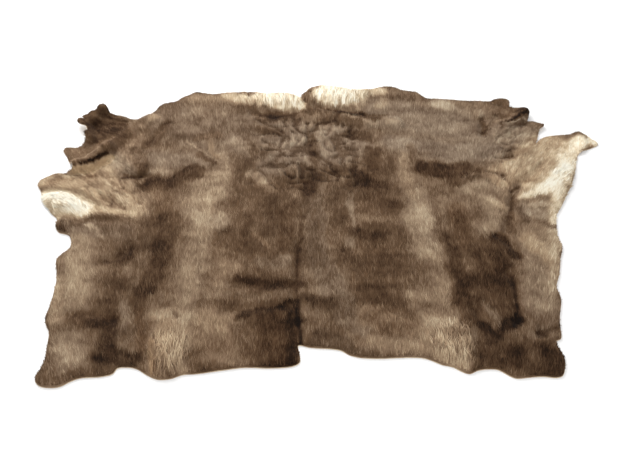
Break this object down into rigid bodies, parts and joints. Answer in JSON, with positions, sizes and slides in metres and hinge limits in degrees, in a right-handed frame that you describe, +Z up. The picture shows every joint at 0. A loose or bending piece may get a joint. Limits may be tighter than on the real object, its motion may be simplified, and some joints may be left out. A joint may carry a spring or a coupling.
{
  "type": "caribou hide",
  "caption": "Tanned caribou hide with its hair on, lying flat hair side up, with curled leg skins, pale tail hair and a straight-cut near end.",
  "frame": {"origin": "middle of the hide's box, on the surface that it lies on", "axes": "+X along the hide's longest side, from its left edge to its right edge as pictured; +Y from the straight-cut near end to the far end with the pale tail hair; +Z up, out of the hair"},
  "size_m": [1.6906, 1.2078, 0.0508],
  "materials": {
    "fur": "dense matt brown and taupe hair on a tanned skin, cream at the tail, the groin and one leg"
  },
  "bodies": {
    "root": {"hide": "fur"}
  },
  "joints": []
}
